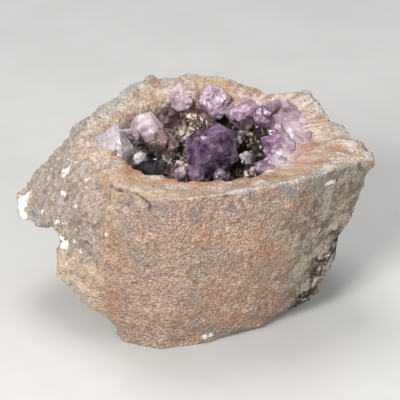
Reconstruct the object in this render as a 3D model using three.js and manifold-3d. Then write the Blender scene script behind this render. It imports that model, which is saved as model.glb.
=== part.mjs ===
// Amethyst geode half: a broken block of weathered rock with an open hollow in its top,
// and the crust of quartz crystals that grew inwards from the wall of that hollow.
// Millimetres, +Z up, the large weathered face towards -Y, origin under the middle of its box.

import * as THREE from "three";
import { ConvexGeometry } from "three/addons/geometries/ConvexGeometry.js";
import { ImprovedNoise } from "three/addons/math/ImprovedNoise.js";
import { mergeVertices } from "three/addons/utils/BufferGeometryUtils.js";
import Module from "manifold-3d";

const wasm = await Module();
wasm.setup();

// Driving dimensions: the block, about 172 x 120 x 97 mm, is the hull of these corners.
const RIM_CORNERS = [
  [-22, -72, 88],
  [0, -70, 90.5],
  [22, -65.5, 91.5],
  [45, -56.5, 91.5],
  [64.5, -44, 90],
  [82, -30, 88],
  [70, -7, 91],
  [62, 12.5, 93],
  [54, 27, 94.5],
  [19, 40, 95.5],
  [-5, 45, 96.5],
  [-24, 44, 96.5],
  [-40, 28, 95.5],
  [-58, 1.5, 92],
  [-43, -40, 88],
];
const FRONT_CORNERS = [
  [-44, -59, 74],
  [-46, -58, 33],
  [-10, -72, 55],
  [35, -61, 52],
  [-12, -69, 25],
  [22, -57, 22],
];
const SIDE_CORNERS = [
  [76.5, -35, 80],
  [70, -27, 50],
  [58.5, -33, 12.5],
  [49, -37, 9.5],
  [62, 20, 50],
  [-68, -44, 58],
  [-71, -42, 29],
  [-49, -46, 10],
  [-64, 22, 38],
];
const SPUR_CORNERS = [
  [-90.5, -14, 58],
  [-89.5, -18, 49],
  [-86, 2, 52],
];
const BACK_CORNERS = [
  [40, 44, 62],
  [5, 53, 60],
  [-38, 48, 58],
];
const BASE_CORNERS = [
  [-37, -55, 0],
  [-19, -61, 0],
  [3, -56, 0],
  [26, -44, 0],
  [40, -8, 0],
  [28, 30, 0],
  [-8, 38, 0],
  [-42, 24, 0],
  [-50, -20, 0],
];

// The notch broken out of the left side, which leaves the spur standing out above it.
const NOTCH_CORNERS = [
  [-69, -60, 60],
  [-120, -60, 47.5],
  [-120, 60, 28.5],
  [-64, 60, 42],
  [-69, -60, -10],
  [-120, -60, -10],
  [-120, 60, -10],
  [-60, 60, -10],
];

// Chips broken off the edges: where, and the half sizes of the piece that is gone.
const CHIPS = [
  { at: [-17, 45, 99], half: [7, 10, 6] },
  { at: [38, 39, 98], half: [16, 10, 8.5] },
  { at: [81, -34, 78], half: [6, 9, 6] },
  { at: [52, -40, 6], half: [9, 8, 5] },
  { at: [-74, -36, 42], half: [6, 7, 12] },
];

// The hollow: a bowl whose mouth lies in the rim, open upwards.
const BOWL_CENTRE = new THREE.Vector3(3, -11.5, 90);
const BOWL_HALF = new THREE.Vector3(49, 44, 50);
const BOWL_SWINGS = [
  { share: 0.03, waves: 2, phase: -1.2 },
  { share: 0.02, waves: 3, phase: 0.6 },
  { share: 0.012, waves: 7, phase: 0 },
];
const BOWL_OPEN_HEIGHT = 30;
const BOWL_SIDES = 24;
const BOWL_RINGS = 5;

// The rim dips towards the hollow: how deep, and how far out, as a share of the bowl's half size.
const RIM_DIP = 4.2;
const RIM_DIP_REACH = 1.28;
const RIM_LEVEL = 80;

// The crust: a thin lining that carries the crystals, a hair clear of the rock.
const CRUST_GAP = 0.35;
const LINING_THICKNESS = 3;
const LINING_SUNK = 2.5;
const CRUST_PROUD = 1.5;

// The large crystals, by where they stand on the bowl's wall: azimuth from +X and depth below the
// mouth in degrees, radius and length in millimetres, and how far the axis is raised from square to
// the wall and swung about the vertical, in degrees.
const LARGE_CRYSTALS = [
  { azimuth: 86, depth: 42, radius: 13, length: 34, raise: 3, swing: 0 },
  { azimuth: 190, depth: 6, radius: 10.5, length: 15, raise: 14, swing: 0 },
  { azimuth: 168, depth: 14, radius: 6.5, length: 14, raise: 10, swing: 0 },
  { azimuth: 146, depth: 9, radius: 8.5, length: 17, raise: 4, swing: 6 },
  { azimuth: 131, depth: 17, radius: 6, length: 14, raise: 4, swing: 0 },
  { azimuth: 120, depth: 9, radius: 5.5, length: 11, raise: 0, swing: 0 },
  { azimuth: 106, depth: 2, radius: 9, length: 13, raise: -4, swing: 8 },
  { azimuth: 84, depth: 6, radius: 9, length: 13, raise: -4, swing: 4 },
  { azimuth: 68, depth: 10, radius: 9.5, length: 15, raise: -4, swing: 0 },
  { azimuth: 51, depth: 8, radius: 8, length: 14, raise: -2, swing: -4 },
  { azimuth: 34, depth: 7, radius: 8.5, length: 14, raise: 0, swing: 0 },
  { azimuth: 17, depth: 9, radius: 9.5, length: 18, raise: 4, swing: 4 },
  { azimuth: -2, depth: 12, radius: 9.5, length: 22, raise: 4, swing: 0 },
  { azimuth: -22, depth: 12, radius: 10, length: 25, raise: 4, swing: 6 },
  { azimuth: -44, depth: 15, radius: 8.5, length: 19, raise: 4, swing: 0 },
  { azimuth: 172, depth: 36, radius: 7.5, length: 16, raise: 4, swing: 0 },
  { azimuth: 148, depth: 38, radius: 6.5, length: 13, raise: 4, swing: 0 },
  { azimuth: 60, depth: 34, radius: 6.5, length: 14, raise: 0, swing: 0 },
  { azimuth: 30, depth: 34, radius: 6.5, length: 14, raise: 0, swing: 0 },
  { azimuth: 112, depth: 58, radius: 5, length: 15, raise: 10, swing: 0 },
  { azimuth: 60, depth: 60, radius: 5, length: 13, raise: 8, swing: 0 },
  { azimuth: 250, depth: 62, radius: 6, length: 16, raise: 4, swing: 0 },
  { azimuth: 300, depth: 58, radius: 5.5, length: 14, raise: 4, swing: 0 },
];

// The small crystals fill the rest of the wall, spread evenly and stirred a little.
const SMALL_COUNT = 42;
const SMALL_RADIUS = [3, 4.8];
const SMALL_REACH = [1.5, 2.2];
const SMALL_STIR = [-13, 13];
const SMALL_DEPTH = [6, 84];

// Quartz: the point's faces lean 38 degrees to the crystal's axis, and no two crystals are alike.
const POINT_LEAN = THREE.MathUtils.degToRad(38);
const SIDE_REACH = [0.84, 1.16];
const POINT_LIFT = [0.12, 0.3];
const ROOT_SHARE = 0.1;
const CRYSTAL_SEED = 7;

// Surface relief of the rock: longest edge, and size and height of each octave of lumps.
const ROCK_EDGE = 13.5;
const LUMPS = [
  { size: 26, height: 1.6 },
  { size: 11, height: 0.8 },
];
const BASE_FADE = [0, 6];

// Wear of the front face: passes of smoothing, and where it fades out towards the back and the rim.
const WEAR_PASSES = 4;
const WEAR_SHARE = 0.6;
const WEAR_BACK = [-40, -54];
const WEAR_TOP = [86, 72];

// Points closer than this are one point, and planes that span less than this are parallel.
const WELD = 1e-3;
const PARALLEL = 1e-6;
const FULL_TURN = 2 * Math.PI;

const noise = new ImprovedNoise();

// A closed geometry as a solid that can be joined and cut
function solidFrom(geometry) {
  const bare = new THREE.BufferGeometry().setAttribute("position", geometry.getAttribute("position"));
  if (geometry.index) bare.setIndex(geometry.index);
  const merged = mergeVertices(bare, WELD);
  return new wasm.Manifold(
    new wasm.Mesh({
      numProp: 3,
      vertProperties: new Float32Array(merged.attributes.position.array),
      triVerts: new Uint32Array(merged.index.array),
    }),
  );
}

// A solid as an indexed geometry
function geometryFrom(solid) {
  const mesh = solid.getMesh();
  return new THREE.BufferGeometry()
    .setAttribute("position", new THREE.BufferAttribute(new Float32Array(mesh.vertProperties), 3))
    .setIndex(new THREE.BufferAttribute(new Uint32Array(mesh.triVerts), 1));
}

function hull(...cornerLists) {
  const corners = cornerLists.flat().map((corner) => new THREE.Vector3(...corner));
  return solidFrom(new ConvexGeometry(corners));
}

// Halves the longest edges, two triangles at a time, until none is longer than limit
function refine(geometry, limit) {
  const position = geometry.getAttribute("position");
  const points = [];
  for (let i = 0; i < position.count; i++) {
    points.push(new THREE.Vector3().fromBufferAttribute(position, i));
  }
  let triangles = [];
  for (let i = 0; i < geometry.index.count; i += 3) {
    triangles.push([...geometry.index.array.slice(i, i + 3)]);
  }
  for (let halved = true; halved; ) {
    halved = false;
    const longest = new Map();
    for (const triangle of triangles) {
      const spans = triangle.map((a, k) => points[a].distanceToSquared(points[triangle[(k + 1) % 3]]));
      const first = spans.indexOf(Math.max(...spans));
      const [a, b, c] = [0, 1, 2].map((k) => triangle[(first + k) % 3]);
      const key = a < b ? `${a},${b}` : `${b},${a}`;
      if (!longest.has(key)) longest.set(key, []);
      longest.get(key).push([a, b, c]);
    }
    triangles = [...longest.values()].flatMap((pair) => {
      const [a, b] = pair[0];
      if (pair.length < 2 || points[a].distanceTo(points[b]) <= limit) return pair;
      halved = true;
      const middle = points.push(points[a].clone().lerp(points[b], 0.5)) - 1;
      return pair.flatMap(([from, to, far]) => [[from, middle, far], [middle, to, far]]);
    });
  }
  return new THREE.BufferGeometry().setFromPoints(points).setIndex(triangles.flat());
}

// From 0 to 1, smoothly, as a value goes from one end to the other, upwards or downwards
function fade(value, [from, to]) {
  const { smoothstep } = THREE.MathUtils;
  return from < to ? smoothstep(value, from, to) : 1 - smoothstep(value, to, from);
}

// Rounds the front face: each point of it moves towards the middle of its neighbours
function wear(geometry) {
  const position = geometry.getAttribute("position");
  const triangles = geometry.index.array;
  for (let pass = 0; pass < WEAR_PASSES; pass++) {
    const sums = Array.from({ length: position.count }, () => ({ total: new THREE.Vector3(), count: 0 }));
    for (let i = 0; i < triangles.length; i++) {
      const next = i % 3 === 2 ? i - 2 : i + 1;
      sums[triangles[i]].total.add(new THREE.Vector3().fromBufferAttribute(position, triangles[next]));
      sums[triangles[i]].count += 1;
    }
    sums.forEach(({ total, count }, i) => {
      const point = new THREE.Vector3().fromBufferAttribute(position, i);
      const share = point.z < WELD ? 0 : WEAR_SHARE * fade(point.y, WEAR_BACK) * fade(point.z, WEAR_TOP);
      point.lerp(total.divideScalar(count), share);
      position.setXYZ(i, point.x, point.y, point.z);
    });
  }
  return geometry;
}

// How far out of the bowl's axis a point is, 1 at the wall of the mouth
function mouthDistance(point) {
  return Math.hypot((point.x - BOWL_CENTRE.x) / BOWL_HALF.x, (point.y - BOWL_CENTRE.y) / BOWL_HALF.y);
}

// Pushes the surface in and out by smooth noise, leaves the base flat and dips the rim
function roughen(geometry) {
  geometry.computeVertexNormals();
  const position = geometry.getAttribute("position");
  const normal = geometry.getAttribute("normal");
  const point = new THREE.Vector3();
  const outward = new THREE.Vector3();
  for (let i = 0; i < position.count; i++) {
    point.fromBufferAttribute(position, i);
    outward.fromBufferAttribute(normal, i);
    const lump = LUMPS.reduce(
      (sum, { size, height }) => sum + height * noise.noise(point.x / size, point.y / size, point.z / size),
      0,
    );
    point.addScaledVector(outward, lump * fade(point.z, BASE_FADE));
    if (point.z > RIM_LEVEL) point.z -= RIM_DIP * fade(mouthDistance(point), [RIM_DIP_REACH, 1]);
    position.setXYZ(i, point.x, point.y, point.z);
  }
  return geometry;
}

// How far the bowl's wall swings in and out round the mouth, as a share of its half size
function bowlSwing(azimuth) {
  const swing = ({ share, waves, phase }) => share * Math.cos(waves * azimuth + phase);
  return BOWL_SWINGS.reduce((sum, entry) => sum + swing(entry), 1);
}

// A point on the bowl's wall, inset from it: depth is 0 at the mouth and a quarter turn at the bottom
function bowlPoint(azimuth, depth, inset = 0) {
  const swing = bowlSwing(azimuth);
  return new THREE.Vector3(
    (BOWL_HALF.x * swing - inset) * Math.cos(azimuth) * Math.cos(depth),
    (BOWL_HALF.y * swing - inset) * Math.sin(azimuth) * Math.cos(depth),
    -(BOWL_HALF.z - inset) * Math.sin(depth),
  ).add(BOWL_CENTRE);
}

// The space of the bowl and straight up out of its mouth, inset from the wall
function bowlSpace(inset) {
  const points = [bowlPoint(0, Math.PI / 2, inset)];
  for (let ring = 1; ring <= BOWL_RINGS + 1; ring++) {
    for (let side = 0; side < BOWL_SIDES; side++) {
      const azimuth = (side / BOWL_SIDES) * FULL_TURN;
      const depth = Math.max(0, 1 - ring / BOWL_RINGS) * (Math.PI / 2);
      const point = bowlPoint(azimuth, depth, inset);
      if (ring > BOWL_RINGS) point.z += BOWL_OPEN_HEIGHT;
      points.push(point);
    }
  }
  const top = points.push(BOWL_CENTRE.clone().setZ(BOWL_CENTRE.z + BOWL_OPEN_HEIGHT)) - 1;
  const at = (ring, side) => 1 + (ring - 1) * BOWL_SIDES + (side % BOWL_SIDES);
  const triangles = [];
  for (let side = 0; side < BOWL_SIDES; side++) {
    triangles.push(0, at(1, side + 1), at(1, side));
    for (let ring = 1; ring <= BOWL_RINGS; ring++) {
      triangles.push(at(ring, side), at(ring, side + 1), at(ring + 1, side + 1));
      triangles.push(at(ring, side), at(ring + 1, side + 1), at(ring + 1, side));
    }
    triangles.push(top, at(BOWL_RINGS + 1, side), at(BOWL_RINGS + 1, side + 1));
  }
  return solidFrom(new THREE.BufferGeometry().setFromPoints(points).setIndex(triangles));
}

// The space of one chip, a rough ball of flat faces
function chipSpace({ at, half }) {
  return solidFrom(new THREE.IcosahedronGeometry(1, 0).scale(...half).translate(...at));
}

// The block with its spur and chipped edges, before the hollow
function brokenBlock() {
  return hull(RIM_CORNERS, FRONT_CORNERS, SIDE_CORNERS, SPUR_CORNERS, BACK_CORNERS, BASE_CORNERS)
    .subtract(hull(NOTCH_CORNERS))
    .subtract(CHIPS.map(chipSpace).reduce((all, chip) => all.add(chip)));
}

// A repeatable stream of numbers from 0 to 1
function randomFrom(seed) {
  let state = seed;
  return () => {
    state = (state * 1664525 + 1013904223) % 4294967296;
    return state / 4294967296;
  };
}

// A random number between two ends
function between([low, high], random) {
  return low + (high - low) * random();
}

// The point where three planes meet, or null where they don't
function meetingPoint(a, b, c) {
  const cross = new THREE.Vector3().crossVectors(b.normal, c.normal);
  const volume = a.normal.dot(cross);
  if (Math.abs(volume) < PARALLEL) return null;
  return cross
    .multiplyScalar(-a.constant)
    .addScaledVector(new THREE.Vector3().crossVectors(c.normal, a.normal), -b.constant)
    .addScaledVector(new THREE.Vector3().crossVectors(a.normal, b.normal), -c.constant)
    .divideScalar(volume);
}

// The convex solid inside a set of planes that face outwards
function solidInside(planes) {
  const corners = [];
  planes.forEach((a, i) =>
    planes.slice(i + 1).forEach((b, j) =>
      planes.slice(i + j + 2).forEach((c) => {
        const corner = meetingPoint(a, b, c);
        if (!corner || planes.some((plane) => plane.distanceToPoint(corner) > WELD)) return;
        if (!corners.some((other) => other.distanceTo(corner) < WELD)) corners.push(corner);
      }),
    ),
  );
  return new ConvexGeometry(corners);
}

// One quartz crystal along +Z: six sides and a point of six faces, its root a little below z = 0
function crystal(radius, length, random) {
  const planes = [new THREE.Plane(new THREE.Vector3(0, 0, -1), -ROOT_SHARE * radius)];
  for (let side = 0; side < 6; side++) {
    const turn = (side / 6) * FULL_TURN;
    const outward = new THREE.Vector3(Math.cos(turn), Math.sin(turn), 0);
    const reach = radius * between(SIDE_REACH, random);
    planes.push(new THREE.Plane(outward, -reach));
    const lean = outward.clone().multiplyScalar(Math.cos(POINT_LEAN)).setZ(Math.sin(POINT_LEAN));
    const lift = (side % 2) * radius * between(POINT_LIFT, random);
    planes.push(new THREE.Plane(lean, -(length * Math.sin(POINT_LEAN) + lift)));
  }
  return solidInside(planes);
}

// A crystal set on the bowl's wall, pointing inwards
function standingCrystal({ azimuth, depth, radius, length, raise, swing }, random) {
  const { degToRad } = THREE.MathUtils;
  const up = new THREE.Vector3(0, 0, 1);
  const root = bowlPoint(degToRad(azimuth), degToRad(depth), CRUST_GAP + LINING_THICKNESS / 2);
  const axis = BOWL_CENTRE.clone().sub(root).divide(BOWL_HALF).divide(BOWL_HALF).normalize();
  const level = new THREE.Vector3().crossVectors(axis, up).normalize();
  axis.applyAxisAngle(level, degToRad(raise)).applyAxisAngle(up, degToRad(swing));
  const stand = new THREE.Quaternion().setFromUnitVectors(up, axis);
  const twist = new THREE.Quaternion().setFromAxisAngle(up, random() * FULL_TURN);
  const place = new THREE.Matrix4().compose(root, stand.multiply(twist), new THREE.Vector3(1, 1, 1));
  return solidFrom(crystal(radius, length, random).applyMatrix4(place));
}

// The small crystals' places, evenly over the wall by the golden angle
function smallCrystals(random) {
  const golden = 180 * (3 - Math.sqrt(5));
  return Array.from({ length: SMALL_COUNT }, (_, i) => {
    const share = (i + 0.5) / SMALL_COUNT;
    const sine = (degrees) => Math.sin(THREE.MathUtils.degToRad(degrees));
    const level = THREE.MathUtils.lerp(sine(SMALL_DEPTH[0]), sine(SMALL_DEPTH[1]), share);
    const radius = between(SMALL_RADIUS, random);
    return {
      azimuth: i * golden,
      depth: THREE.MathUtils.radToDeg(Math.asin(level)),
      radius,
      length: radius * between(SMALL_REACH, random),
      raise: between(SMALL_STIR, random),
      swing: between(SMALL_STIR, random),
    };
  });
}

// The lining and all its crystals in one piece, cut off at the rock wall and broken off at the rim
function crystalCrust(roughBlock) {
  const random = randomFrom(CRYSTAL_SEED);
  const space = bowlSpace(CRUST_GAP);
  const lining = space
    .subtract(bowlSpace(CRUST_GAP + LINING_THICKNESS))
    .intersect(roughBlock.translate([0, 0, -LINING_SUNK]));
  const proud = roughBlock.translate([0, 0, CRUST_PROUD]);
  return [...LARGE_CRYSTALS, ...smallCrystals(random)]
    .reduce((crust, entry) => crust.add(standingCrystal(entry, random)), lining)
    .intersect(space)
    .intersect(proud);
}

const roughBlock = solidFrom(roughen(wear(refine(geometryFrom(brokenBlock()), ROCK_EDGE))));
const rockSolid = roughBlock.subtract(bowlSpace(0));

const rock = new THREE.Mesh(
  geometryFrom(rockSolid),
  new THREE.MeshStandardMaterial({ color: 0xa98a70, roughness: 0.95, metalness: 0 }),
);
rock.name = "rock_shell";

const crust = new THREE.Mesh(
  geometryFrom(crystalCrust(roughBlock)),
  new THREE.MeshStandardMaterial({ color: 0x8f6fae, roughness: 0.25, metalness: 0 }),
);
crust.name = "crystal_crust";

const geode = new THREE.Group();
geode.add(rock, crust);
const box = new THREE.Box3().setFromObject(geode);
const middle = box.getCenter(new THREE.Vector3());
geode.position.set(-middle.x, -middle.y, -box.min.z);

export default geode;
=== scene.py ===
"""Dresses the geode half: weathered rock, its rim of banded quartz and the amethyst in its hollow.

Shapes are worked out in millimetres in the part's own frame and written to the meshes in metres.
"""
import itertools
import math

import bmesh
import bpy
import numpy as np
from mathutils import Matrix, Vector
from mathutils.bvhtree import BVHTree


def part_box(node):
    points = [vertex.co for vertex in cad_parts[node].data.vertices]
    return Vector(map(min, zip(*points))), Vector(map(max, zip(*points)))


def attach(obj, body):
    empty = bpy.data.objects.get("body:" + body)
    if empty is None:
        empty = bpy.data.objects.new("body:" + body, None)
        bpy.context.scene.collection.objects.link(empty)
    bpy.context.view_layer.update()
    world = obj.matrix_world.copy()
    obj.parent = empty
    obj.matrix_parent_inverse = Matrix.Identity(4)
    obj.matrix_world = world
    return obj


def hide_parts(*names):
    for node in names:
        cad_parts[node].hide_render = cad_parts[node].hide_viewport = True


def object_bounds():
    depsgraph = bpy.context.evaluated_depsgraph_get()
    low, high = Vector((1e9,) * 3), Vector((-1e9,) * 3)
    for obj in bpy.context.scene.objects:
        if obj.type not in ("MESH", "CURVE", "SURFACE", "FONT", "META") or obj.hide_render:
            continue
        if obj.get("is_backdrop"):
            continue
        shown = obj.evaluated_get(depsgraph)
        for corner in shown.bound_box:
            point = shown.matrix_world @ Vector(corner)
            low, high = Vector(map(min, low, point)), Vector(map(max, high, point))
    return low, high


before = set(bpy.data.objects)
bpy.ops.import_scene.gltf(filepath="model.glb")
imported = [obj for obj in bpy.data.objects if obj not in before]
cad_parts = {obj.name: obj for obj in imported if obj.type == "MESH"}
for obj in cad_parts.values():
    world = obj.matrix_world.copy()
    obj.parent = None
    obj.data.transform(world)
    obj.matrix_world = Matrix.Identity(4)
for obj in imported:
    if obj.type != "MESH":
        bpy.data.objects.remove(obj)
cad_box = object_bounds()

MM = 0.001

# The hollow, from the solids: half an ellipsoid, open upwards.
CRUST_LOW, CRUST_HIGH = (np.array(corner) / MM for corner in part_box("crystal_crust"))
HOLLOW_TOP = 90.0
HOLLOW_CENTRE = np.array([*(CRUST_LOW + CRUST_HIGH)[:2] / 2, HOLLOW_TOP])
HOLLOW_HALF = np.array([*(CRUST_HIGH - CRUST_LOW)[:2] / 2, HOLLOW_TOP - CRUST_LOW[2]])

# Camera of the photograph: what it looks at, how high it stands, how far off, and its lens.
VIEW_TARGET = Vector((4.2, 9.5, 48.0)) * MM
VIEW_ELEVATION = math.radians(30)
VIEW_DISTANCE = 750 * MM
VIEW_LENS = 135

# The studio, in metres: half the floor's width, then each light's name, place, width and power.
FLOOR_HALF = 3.0
LIGHTS = [
    ("key", (-0.5, -0.9, 0.75), 0.4, 18),
    ("fill", (0.8, -0.7, 0.6), 0.8, 5),
    ("top", (-0.15, 0.2, 1.2), 0.5, 7),
]
SKY_COLOUR = (0.9, 0.92, 0.95, 1)
SKY_STRENGTH = 0.45

# Cell size of the even mesh that carries the rock's fine relief.
ROCK_CELL = 0.98

# How the facets are worn: passes of smoothing, how far each moves a point, and how much less on sharp edges.
WEAR_PASSES = 60
WEAR_SHARE = 0.5
WEAR_KEPT = 0.48

# Passes of smoothing that give the way a whole stretch of surface faces.
FACING_PASSES = 30

# Heights between which a form fades in, from where it is absent to where it is full.
WALL_FOOT = (36, 39)
WALL_DEEP = (66, 44)
MOUTH_HEIGHT = (58, 82)
DIP_HEIGHT = (80, 86)
RIM_HEIGHT = (78, 86)
EDGE_HEIGHT = (76, 82)
PITTED_HEIGHT = (74, 56)
CRACK_HEIGHT = (82, 85)
PALE_HEIGHT = (74, 80)
KNOB_HEIGHT = (66, 80)
FOOT_HEIGHT = (0.2, 4)

# Height of each form in the relief of each kind of surface; those below zero cut in.
RELIEF = {
    "skin": {"lumps": 1.3, "pebble": 0.6, "cobble": 0.35},
    "broken": {
        "lift": 0.7,
        "lumps": 1.2,
        "facets": 0.1,
        "ledges": -2.2,
        "creases": -1.6,
        "pebble": 0.5,
        "cobble": 0.4,
    },
    "pitted": {"lumps": 1.4, "holes": -3.2, "pebble": 0.7},
    "rim": {"lumps": 1.0, "facets": 0.04, "fibre": 0.2, "ledges": -1.0, "pebble": 0.4},
}
WALL_COBBLES = 2.0
BROW_CHIPS = 1.6

# White chips of quartz on the rock: place and radius.
WHITE_CHIPS = [
    (-84.0, -8.5, 56.5, 4.6),
    (-80.5, -8.5, 61.0, 3.0),
    (-82.0, -12.0, 52.5, 3.2),
    (-64.0, -33.0, 52.5, 2.4),
    (-62.5, -34.5, 48.0, 2.6),
    (-63.0, -36.0, 34.0, 2.0),
    (-61.8, -12.9, 76.4, 1.5),
    (-59.2, -14.4, 77.8, 1.5),
    (-60.1, -16.4, 76.1, 1.0),
    (-49.2, -27.2, 80.5, 1.2),
    (-70.2, -23.6, 60.0, 1.3),
    (-73.4, -20.6, 58.8, 0.9),
    (-60.6, -24.1, 71.2, 0.8),
    (-53.8, -34.3, 70.1, 0.7),
    (-58.0, -9.0, 80.8, 0.7),
    (-54.8, -13.1, 81.9, 0.8),
    (-63.3, -32.0, 60.0, 0.9),
    (-53.3, -39.5, 61.2, 0.8),
    (-56.0, -39.3, 52.8, 0.8),
    (-52.7, -41.5, 49.2, 0.9),
    (-40.5, -35.0, 83.6, 0.9),
    (-60.1, -36.9, 39.0, 0.9),
    (65.1, -36.0, 83.4, 1.6),
    (63.2, -37.2, 83.2, 1.2),
    (-38.4, -50.4, 64.5, 1.1),
    (-38.9, -50.6, 60.5, 0.9),
    (-39.2, -50.6, 55.0, 0.7),
    (6.6, -47.9, 4.5, 1.5),
    (9.9, -47.3, 5.2, 1.3),
]
CHIP_RAGGED = 0.65
CHIP_HEIGHT = 0.5

# The crack where the rim breaks off on the left, from its back end to the front edge: a shallow groove,
# painted dark as the shadow line under the overhanging lip.
SHADOWED_CRACK = [(-38.0, -36.0), (-36.2, -40.1), (-31.0, -45.0), (-27.5, -49.5), (-22.0, -56.0), (-18.1, -62.5)]
CRACK_HALF_WIDTH = 0.65
CRACK_DEPTH = 0.7

# The soft ridge between the front and the left side, from the top down.
RIDGE = [
    (-36.5, -47.5, 78.0),
    (-38.1, -49.4, 68.8),
    (-39.3, -49.3, 58.0),
    (-39.2, -49.4, 47.0),
    (-40.5, -48.0, 36.0),
]
RIDGE_HALF_WIDTH = 5.0
RIDGE_HEIGHT = 1.5

# The dark pitted band at the right end, from its top down to the foot.
PITTED_LINE = [(73.0, -17.0, 58.0), (68.0, -25.0, 44.0), (61.0, -28.5, 30.0), (54.0, -28.0, 10.0)]
PITTED_HALF_WIDTH = 9.0
PITTED_CORE = 3.0

# The pebbly skin of the front ends on the left between these places.
SKIN_LEFT = (-44, -36)

# How far the rim comes in over the hollow, by direction from its middle in degrees.
MOUTH_REACH = [
    (0, 13), (20, 11), (40, 6), (60, 1), (80, 0), (110, 0), (135, 1), (160, 1), (180, 2),
    (192, 5), (205, 8.5), (225, 8), (250, 7), (270, 4), (285, 5.5), (300, 8), (320, 11), (340, 13),
]
MOUTH_RAGGED = 0.16
MOUTH_SPREAD = 1.36

# How far the rim dips for each millimetre that it comes in on the right, and the share of that on the left.
MOUTH_DIP = 0.4
MOUTH_DIP_LEFT = 0.2

# How far the wall of the hollow stands in from the solid's, by height: back under the mouth, in below it.
WALL_PROFILE = [(44, 7.0), (66, 3.4), (76, 0.5), (82, -1.8), (87, 0)]

# Knobs of the rim's outer edge: place, radius and height.
KNOBS = [
    (63.0, 36.0, 12.0, 1.8),
    (65.5, 28.5, 9.0, 3.4),
    (69.0, 22.0, 10.0, 2.8),
    (76.0, 6.0, 9.0, 1.6),
    (83.7, -6.0, 9.0, 3.6),
    (86.0, -17.0, 7.0, 2.0),
    (-57.0, 15.0, 5.0, 2.8),
    (-45.0, 32.0, 12.0, 2.6),
    (-36.0, 42.0, 12.0, 2.8),
    (-25.0, 53.0, 9.0, 3.0),
    (-8.3, 59.0, 4.0, 1.5),
    (20.5, 56.0, 4.0, 1.5),
]

# The strip of pale grey skin along the back left of the rim's outer edge.
PALE_STRIP = [(-48.0, 26.0), (-43.7, 32.2), (-36.5, 38.0), (-29.3, 46.6), (-19.7, 58.0)]
PALE_HALF_WIDTH = 5.5
PALE_DEPTH = 0.4

# Crystals with a place of their own: tip, the way it points (turn from +X and rise from level, in degrees),
# radius, length, how purple and how dark it is, how many smaller ones stand beside it, and the number that
# picks its shape. They run from the left of the hollow round the back to the right. After them come the
# large one in the middle, those in front of it, and two pale ones on its right.
CRYSTALS = [
    ((-35, -1, 96), -10, 78, 9.4, 30, 0.015, 0.22, 0, 1),
    ((-26, 8, 84.5), -45, 20, 4.2, 14, 0.45, 0.1, 3, 2),
    ((-17, 14, 87.5), -58, 30, 8, 21, 0.045, 0.0, 3, 3),
    ((-12.5, 8, 80), -64, 10, 6.8, 22, 0.06, 0.6, 2, 4),
    ((-11, 23, 85), -80, 18, 5, 16, 0.2, 0.68, 4, 35),
    ((-6, 42, 96.5), -80, 66, 5.6, 22, 0.12, 0.0, 2, 34),
    ((-3.5, 34.5, 90.5), -75, 25, 5.2, 16, 0.26, 0.0, 2, 7),
    ((7, 19, 84), -92, 4, 5, 18, 0.06, 0.64, 3, 8),
    ((10, 25, 89), -95, 8, 7.4, 19, 0.6, 0.0, 3, 9),
    ((15.5, 30, 92), -75, 12, 5, 14, 0.5, 0.0, 2, 10),
    ((22.5, 20, 86.5), -105, 6, 7.6, 23, 0.6, 0.1, 3, 11),
    ((32, 18, 87.5), -115, 8, 5.6, 22, 0.7, 0.3, 2, 12),
    ((40, 20, 90.5), -150, 40, 8.6, 16, 0.36, 0.38, 3, 13),
    ((44, 12, 90), -165, 42, 8.6, 14, 0.36, 0.36, 3, 14),
    ((47.5, 4, 88.5), 180, 42, 8, 12, 0.32, 0.34, 3, 15),
    ((34, -2, 87.5), 178, 32, 7, 18, 1.0, 0.25, 4, 16),
    ((38, -8, 85.5), 175, 32, 5, 14, 0.45, 0.0, 4, 17),
    ((34.5, -14, 84.5), 165, 22, 4.4, 12, 0.9, 0.15, 3, 18),
    ((29.5, -20, 84.5), 160, 15, 3.2, 12, 0.9, 0.35, 3, 19),
    ((9.5, 3, 80.5), -92, 32, 13.4, 36, 0.9, 0.7, 1, 53),
    ((-17, -9, 81.5), -65, 45, 6.4, 24, 0.05, 0.97, 5, 21),
    # This small white crystal is a painted highlight: it stands for the glint on a face of the dark crystal
    # above.
    ((-24, -10.5, 84), -75, 40, 2.8, 8, 0.0, 0.0, 6, 33),
    ((-3.5, -9.5, 77.5), -60, 60, 2.6, 26, 0.14, 0.3, 3, 43),
    ((3, -11, 77.5), -85, 60, 4.2, 26, 0.8, 0.5, 4, 44),
    ((13.5, -12, 76.5), -95, 62, 3.4, 26, 0.85, 0.5, 4, 25),
    ((-8.5, -7, 77), -100, 64, 3.6, 27, 0.3, 0.6, 3, 26),
    ((26, 11, 72), -110, 30, 3.4, 16, 0.0, 0.25, 5, 60),
    ((22, 16, 78), -100, 20, 2.6, 16, 0.0, 0.35, 5, 61),
]
CRYSTAL_BEVEL = 0.28
CRYSTAL_BREAKS = 2

# The smaller crystals beside one of these, as shares of its radius: how far aside they stand, their radius,
# and how much shorter they are. Then their tilt, and how purple they are as a share of its purple.
BESIDE_PLACE = (0.45, 0.85)
BESIDE_RADIUS = (0.25, 0.55)
BESIDE_SHORTER = (0.2, 1.2)
BESIDE_TILT = 0.06
BESIDE_PURPLE = (0.6, 1.3)

# Quartz: the faces of the point lean 38 degrees to the crystal's length.
POINT_LEAN = math.radians(38)

# How unevenly a crystal grows, as shares of its radius: how far out its sides stand, how far below the tip
# the faces of the point start, and how far out and how far down its broken faces are. The last says how much
# these face upwards.
SIDE_OUT = (0.75, 1.05)
POINT_DOWN = (0, 0.6)
BREAK_OUT = (0.7, 1.0)
BREAK_DOWN = 1.2
BREAK_RISE = (0.1, 1.6)

# Small crystals on the wall: how many are tried, the share that stays, their radius, their length as a share
# of it, tilt, and where they stop.
SMALL_COUNT = 260
SMALL_SHARE = 0.5
SMALL_RADIUS = (1.3, 2.8)
SMALL_LENGTH = (2, 3)
SMALL_TILT = 0.3
SMALL_TOP = 80.0

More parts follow.
